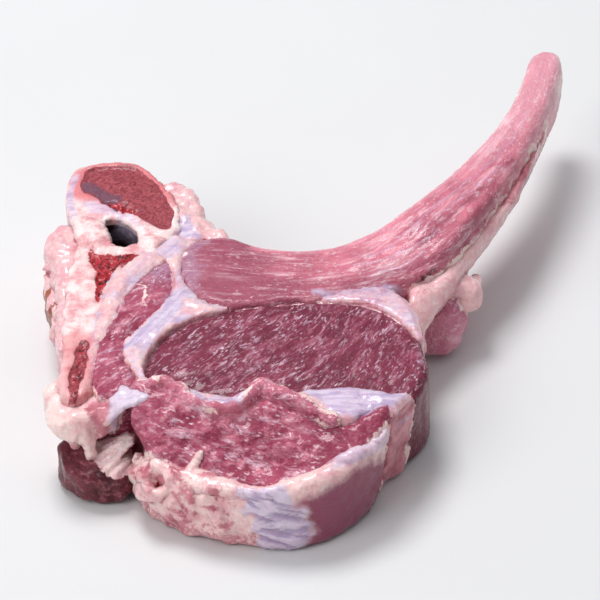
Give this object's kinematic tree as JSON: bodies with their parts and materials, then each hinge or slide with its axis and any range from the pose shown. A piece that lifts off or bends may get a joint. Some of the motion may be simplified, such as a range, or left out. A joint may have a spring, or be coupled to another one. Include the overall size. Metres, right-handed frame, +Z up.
{
  "type": "mutton rib chop",
  "caption": "Raw mutton rib chop lying on its cut face: chine bone with canal, eye and cap muscles, fat seams and a long curved rib wrapped in meat.",
  "frame": {"origin": "on the surface that the chop rests on, under the middle of its bounding box", "axes": "+Z up out of the upper cut face, +Y from the loin end to the tip of the rib, +X from the backbone to the far side of the eye"},
  "size_m": [0.0913, 0.1211, 0.0218],
  "materials": {
    "bone": "moist sawn bone, red open marrow with a pale rim",
    "rib_bone": "sawn rib end, pale ring round red-brown marrow",
    "dark_muscle": "wet dark red lean meat with fine pale fibre ends",
    "pink_muscle": "wet rosy lean meat with long fibres and thin membranes",
    "red_muscle": "wet red lean meat, coarse cut bundles",
    "dry_muscle": "brownish lean meat dried by the air",
    "fat": "moist creamy pink fat and connective tissue",
    "silverskin": "wet bluish white membrane"
  },
  "bodies": {
    "root": {"vertebra": "bone", "rib_bone": "rib_bone", "eye_muscle": "dark_muscle", "rib_meat": "pink_muscle", "back_muscle": "red_muscle", "cap_muscle": "red_muscle", "low_muscle": "dark_muscle", "side_muscle": "dry_muscle", "seam_fat": "fat", "corner_fat": "fat", "wedge_fat": "silverskin", "joint_fat": "fat", "side_fat": "fat", "tip_fat": "fat", "edge_fat": "fat", "tail_strand": "fat", "tail_muscle": "dark_muscle", "tail_fat": "fat"}
  },
  "joints": []
}
